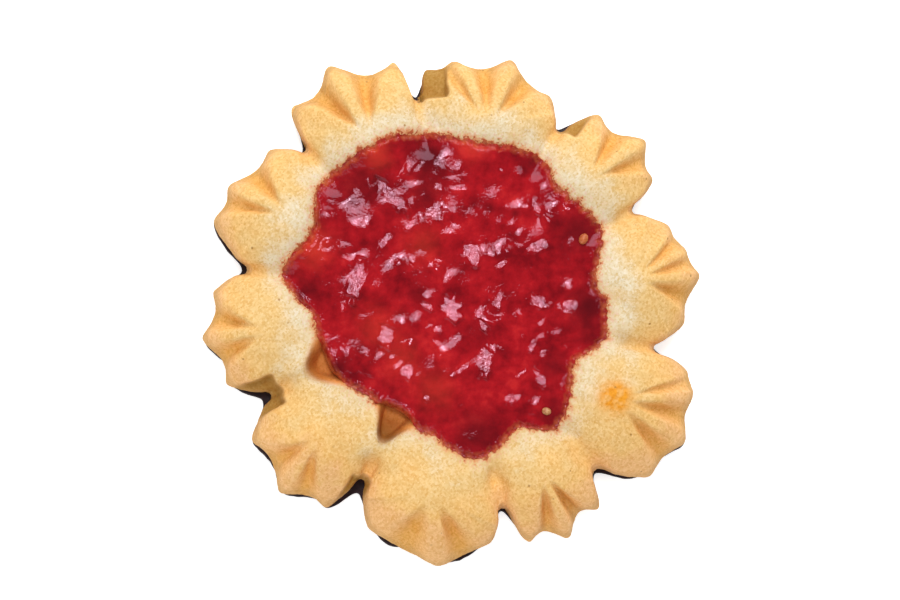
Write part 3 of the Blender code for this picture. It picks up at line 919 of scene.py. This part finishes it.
# Materials
class Nodes:
    """Short names for the node calls that every material here uses."""

    def __init__(self, name):
        self.material = bpy.data.materials.new(name)
        self.material.use_nodes = True
        self.tree = self.material.node_tree
        self.shader = self.tree.nodes["Principled BSDF"]
        self.coordinates = self.tree.nodes.new("ShaderNodeTexCoord").outputs["Object"]

    def link(self, source, target):
        self.tree.links.new(source, target)

    def attribute(self, label):
        node = self.tree.nodes.new("ShaderNodeAttribute")
        node.attribute_name = label
        return node.outputs["Fac"]

    def noise(self, size_mm, detail=2.0, roughness=0.5):
        node = self.tree.nodes.new("ShaderNodeTexNoise")
        node.inputs["Scale"].default_value = 1.0 / (size_mm * MM)
        node.inputs["Detail"].default_value = detail
        node.inputs["Roughness"].default_value = roughness
        self.link(self.coordinates, node.inputs["Vector"])
        return node.outputs["Fac"]

    def cells(self, size_mm):
        """Scattered cells: the distance to the nearest one, in units of size, and its own number."""
        node = self.tree.nodes.new("ShaderNodeTexVoronoi")
        node.inputs["Scale"].default_value = 1.0 / (size_mm * MM)
        self.link(self.coordinates, node.inputs["Vector"])
        return node.outputs["Distance"], node.outputs["Color"]

    def math(self, operation, first, second=0.0, clamp=False):
        node = self.tree.nodes.new("ShaderNodeMath")
        node.operation = operation
        node.use_clamp = clamp
        for socket, value in zip(node.inputs, (first, second)):
            if isinstance(value, (int, float)):
                socket.default_value = value
            else:
                self.link(value, socket)
        return node.outputs[0]

    def ramp(self, source, stops):
        """Colours or greys at places along a value."""
        node = self.tree.nodes.new("ShaderNodeValToRGB")
        elements = node.color_ramp.elements
        while len(elements) < len(stops):
            elements.new(0.5)
        for element, (place, colour) in zip(elements, stops):
            element.position = place
            shade = colour if isinstance(colour, tuple) else (colour, colour, colour)
            element.color = (*shade, 1.0)
        self.link(source, node.inputs["Fac"])
        return node.outputs["Color"]

    def mix(self, amount, first, second, blend="MIX"):
        node = self.tree.nodes.new("ShaderNodeMix")
        node.data_type = "RGBA"
        node.blend_type = blend
        colours = [socket for socket in node.inputs if socket.type == "RGBA"]
        for socket, value in zip((node.inputs["Factor"], *colours), (amount, first, second)):
            if isinstance(value, (int, float)):
                socket.default_value = value
            elif isinstance(value, tuple):
                socket.default_value = (*value, 1.0)
            else:
                self.link(value, socket)
        return [socket for socket in node.outputs if socket.type == "RGBA"][0]

    def bump(self, height, strength, distance_mm, normal=None):
        node = self.tree.nodes.new("ShaderNodeBump")
        node.inputs["Strength"].default_value = strength
        node.inputs["Distance"].default_value = distance_mm * MM
        self.link(height, node.inputs["Height"])
        if normal is not None:
            self.link(normal, node.inputs["Normal"])
        return node.outputs["Normal"]

    def set(self, **values):
        for name, value in values.items():
            self.shader.inputs[name.replace("_", " ")].default_value = value


# Colours of the crust, of the painted shade in the hollows, and of the jam
CREAM = (0.84, 0.715, 0.505)
GOLD = (0.85, 0.58, 0.25)
TAN = (0.90, 0.555, 0.205)
TIP_TAN = (0.90, 0.525, 0.225)
# Amber of the grooves: partly browning, partly painted shade
GROOVE_AMBER_AND_SHADE = (0.80, 0.41, 0.09)
UMBER = (0.40, 0.18, 0.04)
# Olive brown of steep low sides: partly browning, partly painted shade
STEEP_BROWN_AND_SHADE = (0.48, 0.25, 0.05)
# Painted shadow on the low flanks beside notches
SHELF_PAINTED_SHADOW = (0.46, 0.25, 0.055)
STAIN_ORANGE = (0.70, 0.25, 0.08)
STAIN_BROWN = (0.40, 0.06, 0.02)
# Painted shade in the hollows, reddened by painted light from the jam, lightest next to the jam and deepest
# furthest from it
HOLLOW_SHADE_NEAR = (0.88, 0.36, 0.09)
HOLLOW_SHADE_MID = (0.66, 0.23, 0.045)
HOLLOW_SHADE_DEEP = (0.38, 0.15, 0.026)
BLISTER = (0.86, 0.34, 0.02)
CRIMSONS = (
    (0.36, (0.20, 0.001, 0.004)),
    (0.46, (0.31, 0.003, 0.007)),
    (0.56, (0.42, 0.006, 0.011)),
    (0.66, (0.55, 0.016, 0.018)),
)
DARK_FRUIT_RED = (0.10, 0.001, 0.003)
BRIGHT_FRUIT_RED = (0.66, 0.045, 0.022)
THIN_JAM_ORANGE = (0.64, 0.15, 0.05)
JAM_SHEEN = (1.0, 0.66, 0.86, 1.0)
CHOCOLATE_BLACK = (0.010, 0.003, 0.006)
CHOCOLATE_BROWN = (0.030, 0.010, 0.014)


def biscuit_material():
    """Pale cream by the jam and golden outwards, with grooves darkened partly by browning and partly by
    painted shade, pores and a sandy grain, and painted shade on steep low sides, low flanks and in the
    hollows.
    """
    n = Nodes("baked_biscuit")
    blotch = n.noise(4.5, 3.0)
    fine = n.noise(0.34, 2.5, 0.65)
    coarse = n.noise(1.2, 2.0)
    wander = n.math("MULTIPLY", n.math("SUBTRACT", blotch, 0.5), 0.9)
    outwards = n.math("ADD", n.attribute("outwards"), wander, clamp=True)
    colour = n.ramp(outwards, ((0.10, CREAM), (0.42, GOLD), (0.78, TAN), (1.0, TIP_TAN)))
    # Grooves darkened amber: partly browning, partly painted shade
    groove = n.math("MULTIPLY", n.attribute("groove"), n.ramp(coarse, ((0.2, 0.75), (0.7, 1.0))), clamp=True)
    colour = n.mix(n.math("MULTIPLY", groove, 0.95), colour, GROOVE_AMBER_AND_SHADE)
    mottled = n.ramp(coarse, ((0.38, 0.6), (0.55, 1.0)))
    blister = n.math("MULTIPLY", n.math("MULTIPLY", n.attribute("blister"), 1.8, clamp=True), mottled)
    colour = n.mix(blister, colour, BLISTER)
    # Painted shadow on the low flanks beside notches
    colour = n.mix(n.attribute("shelf_shadow_mask"), colour, SHELF_PAINTED_SHADOW)
    # Steep low sides darkened olive brown: partly browning, partly painted shade
    flank_brown_and_shade = n.math("MULTIPLY", n.attribute("steep"), n.attribute("low"))
    colour = n.mix(n.math("MULTIPLY", flank_brown_and_shade, 0.6), colour, STEEP_BROWN_AND_SHADE)
    away, number = n.cells(1.7)
    chosen = n.ramp(number, ((0.74, 0.0), (0.76, 1.0)))
    pores = n.math("MULTIPLY", n.ramp(away, ((0.07, 1.0), (0.13, 0.0))), chosen)
    colour = n.mix(n.math("MULTIPLY", pores, 0.75), colour, UMBER)
    _, crumb = n.cells(0.26)
    sand = n.math("ADD", n.math("MULTIPLY", fine, 0.45), n.math("MULTIPLY", crumb, 0.55))
    grain = n.ramp(sand, ((0.2, (0.84, 0.70, 0.44)), (0.5, (0.97, 0.95, 0.89)), (0.8, (1.09, 1.14, 1.32))))
    colour = n.mix(1.0, colour, grain, "MULTIPLY")
    speckled = n.math("ADD", n.attribute("stain"), n.math("MULTIPLY", n.math("SUBTRACT", crumb, 0.5), 0.8))
    colour = n.mix(n.ramp(speckled, ((0.3, 0.0), (0.85, 0.9))), colour, STAIN_ORANGE)
    colour = n.mix(n.ramp(speckled, ((0.85, 0.0), (1.15, 0.8))), colour, STAIN_BROWN)
    # Painted shade in the hollows, reddened by painted light from the jam, deepening away from the jam
    hollow_painted_shade = n.ramp(
        n.attribute("past_jam"), ((0.15, HOLLOW_SHADE_NEAR), (0.42, HOLLOW_SHADE_MID), (0.92, HOLLOW_SHADE_DEEP))
    )
    hollow_painted_shade = n.mix(0.8, hollow_painted_shade, grain, "MULTIPLY")
    colour = n.mix(n.attribute("hollow_painted_shade"), colour, hollow_painted_shade)
    n.link(colour, n.shader.inputs["Base Color"])
    normal = n.bump(sand, 0.5, 0.10)
    normal = n.bump(coarse, 0.25, 0.12, normal)
    n.link(n.bump(pores, -0.6, 0.12, normal), n.shader.inputs["Normal"])
    n.set(IOR=1.4, Roughness=0.75, Specular_IOR_Level=0.35)
    return n.material


def jam_material():
    """Glossy crimson with darker and brighter fruit, and thinner and more orange at its edge."""
    n = Nodes("red_jam")
    broad = n.noise(5.0, 2.0)
    pulp = n.noise(1.6, 3.0, 0.6)
    tone = n.math("ADD", n.math("MULTIPLY", broad, 0.55), n.math("MULTIPLY", pulp, 0.45))
    colour = n.ramp(tone, CRIMSONS)
    colour = n.mix(n.math("MULTIPLY", n.attribute("dark"), 0.95, clamp=True), colour, DARK_FRUIT_RED)
    colour = n.mix(n.math("MULTIPLY", n.attribute("bright"), 0.6, clamp=True), colour, BRIGHT_FRUIT_RED)
    thin = n.ramp(n.math("MULTIPLY", n.attribute("from_shore"), 0.5), ((0.0, 1.0), (0.55, 0.0)))
    patchy = n.ramp(n.noise(0.9, 2.0), ((0.4, 0.15), (0.62, 0.8)))
    colour = n.mix(n.math("MULTIPLY", thin, patchy), colour, THIN_JAM_ORANGE)
    n.link(colour, n.shader.inputs["Base Color"])
    rippled = n.math("ADD", n.math("MULTIPLY", n.attribute("shine"), 0.85), 0.15)
    normal = n.bump(n.math("MULTIPLY", n.noise(0.55, 2.5, 0.6), rippled), 0.6, 0.09)
    near_shore = n.ramp(n.math("MULTIPLY", n.attribute("from_shore"), 0.4), ((0.1, 1.0), (0.65, 0.08)))
    beading = n.bump(n.math("MULTIPLY", n.noise(0.36, 1.5), near_shore), 1.0, 0.2, normal)
    n.link(beading, n.shader.inputs["Normal"])
    n.set(IOR=1.36, Roughness=0.06, Subsurface_Weight=0.15, Subsurface_Scale=0.002)
    n.set(Specular_Tint=JAM_SHEEN)
    n.shader.inputs["Subsurface Radius"].default_value = (1.0, 0.25, 0.15)
    return n.material


def chocolate_material():
    """Almost black, and satin."""
    n = Nodes("dark_chocolate")
    fine = n.noise(0.9, 3.0)
    shade = n.ramp(fine, ((0.3, CHOCOLATE_BLACK), (0.7, CHOCOLATE_BROWN)))
    n.link(shade, n.shader.inputs["Base Color"])
    n.link(n.bump(fine, 0.3, 0.12), n.shader.inputs["Normal"])
    n.set(IOR=1.4, Roughness=0.4, Specular_IOR_Level=0.3)
    return n.material


def seed_material(index, dark, light):
    """A seed's mottled brown, between its dark and its light shade."""
    n = Nodes(f"raspberry_seed_{index + 1}")
    n.link(n.ramp(n.noise(0.3, 2.0), ((0.3, dark), (0.7, light))), n.shader.inputs["Base Color"])
    n.set(IOR=1.45, Roughness=0.3)
    return n.material


# Floor, light and camera
PHOTO_WIDTH, PHOTO_HEIGHT = 900, 600
MM_PER_PIXEL = 0.14
PHOTO_MIDDLE = (450.0, 310.0)
FOCAL_LENGTH, SENSOR_WIDTH = 100.0, 36.0
CAMERA_TILT = 4.0
CAMERA_BEARING = 215.0
AIM_HEIGHT = 4.0

FLOOR_HALF_WIDTH = 1.5
FLOOR_HEIGHT = -0.0002
FLOOR_GREY = (0.92, 0.92, 0.92, 1.0)
WHITE = (1.0, 1.0, 1.0, 1.0)
FLOOR_GLOW = 0.7
SURROUND_STRENGTH = 0.35

# Square softboxes: name, bearing, elevation, distance and side in metres, and power in watts
SOFTBOXES = (
    ("key", 80.0, 42.0, 0.6, 0.34, 1.9),
    ("overhead", 100.0, 74.0, 0.6, 0.15, 0.8),
    ("overhead_core", 100.0, 74.0, 0.59, 0.04, 0.26),
    ("fill", 240.0, 40.0, 0.6, 0.40, 0.85),
)


def make_floor():
    mesh = bpy.data.meshes.new("floor")
    half = FLOOR_HALF_WIDTH
    corners = [(-half, -half, 0.0), (half, -half, 0.0), (half, half, 0.0), (-half, half, 0.0)]
    mesh.from_pydata(corners, [], [(0, 1, 2, 3)])
    floor = bpy.data.objects.new("floor", mesh)
    bpy.context.scene.collection.objects.link(floor)
    n = Nodes("pale_floor")
    n.set(Base_Color=FLOOR_GREY, Roughness=0.9, Specular_IOR_Level=0.0)
    n.set(Emission_Color=WHITE, Emission_Strength=FLOOR_GLOW)
    mesh.materials.append(n.material)
    floor.location.z = FLOOR_HEIGHT
    return floor


def add_softbox(name, bearing, elevation, distance, side, power):
    data = bpy.data.lights.new(name, "AREA")
    data.shape = "SQUARE"
    data.size = side
    data.energy = power
    light = bpy.data.objects.new(name, data)
    turn, lift = math.radians(bearing), math.radians(elevation)
    away = Vector((math.cos(turn) * math.cos(lift), math.sin(turn) * math.cos(lift), math.sin(lift)))
    light.location = away * distance
    light.rotation_euler = away.to_track_quat("Z", "Y").to_euler()
    bpy.context.scene.collection.objects.link(light)


def add_lights():
    world = bpy.data.worlds.new("studio")
    world.use_nodes = True
    background = world.node_tree.nodes["Background"]
    background.inputs["Color"].default_value = WHITE
    background.inputs["Strength"].default_value = SURROUND_STRENGTH
    bpy.context.scene.world = world
    for softbox in SOFTBOXES:
        add_softbox(*softbox)


def add_camera():
    """Looks almost straight down, with the cookie where the photo has it."""
    data = bpy.data.cameras.new("camera")
    data.lens = FOCAL_LENGTH
    data.sensor_width = SENSOR_WIDTH
    data.clip_start = 0.01
    camera = bpy.data.objects.new("camera", data)
    width = PHOTO_WIDTH * MM_PER_PIXEL * MM
    distance = width / SENSOR_WIDTH * FOCAL_LENGTH
    aim_x = (PHOTO_WIDTH / 2.0 - PHOTO_MIDDLE[0]) * MM_PER_PIXEL - ORIGIN[0]
    aim_y = (PHOTO_MIDDLE[1] - PHOTO_HEIGHT / 2.0) * MM_PER_PIXEL - ORIGIN[1]
    target = Vector((aim_x, aim_y, AIM_HEIGHT)) * MM
    turn, tilt = math.radians(CAMERA_BEARING), math.radians(CAMERA_TILT)
    back = Vector((math.cos(turn) * math.sin(tilt), math.sin(turn) * math.sin(tilt), math.cos(tilt)))
    right = Vector((0.0, 1.0, 0.0)).cross(back).normalized()
    up = back.cross(right)
    rotation = Matrix((right, up, back)).transposed().to_4x4()
    camera.matrix_world = Matrix.Translation(target + back * distance) @ rotation
    bpy.context.scene.collection.objects.link(camera)
    bpy.context.scene.camera = camera


def dress(piece, material, slot, *nodes):
    """Gives a piece its material and its place in the frame."""
    piece.data.materials.append(material)
    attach(piece, "root")
    if nodes:
        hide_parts(*nodes)


add_camera()
add_lights()
bpy.context.scene.view_settings.view_transform = "Standard"
make_floor()

dress(make_biscuit(), biscuit_material(), "biscuit", "biscuit")
dress(make_jam(), jam_material(), "jam", "jam")
dress(make_chocolate(), chocolate_material(), "chocolate", "chocolate_base")
for seed_index, (seed, shades) in enumerate(zip(SEEDS, SEED_SHADES)):
    dress(make_seed(seed_index, *seed), seed_material(seed_index, *shades), "biscuit")
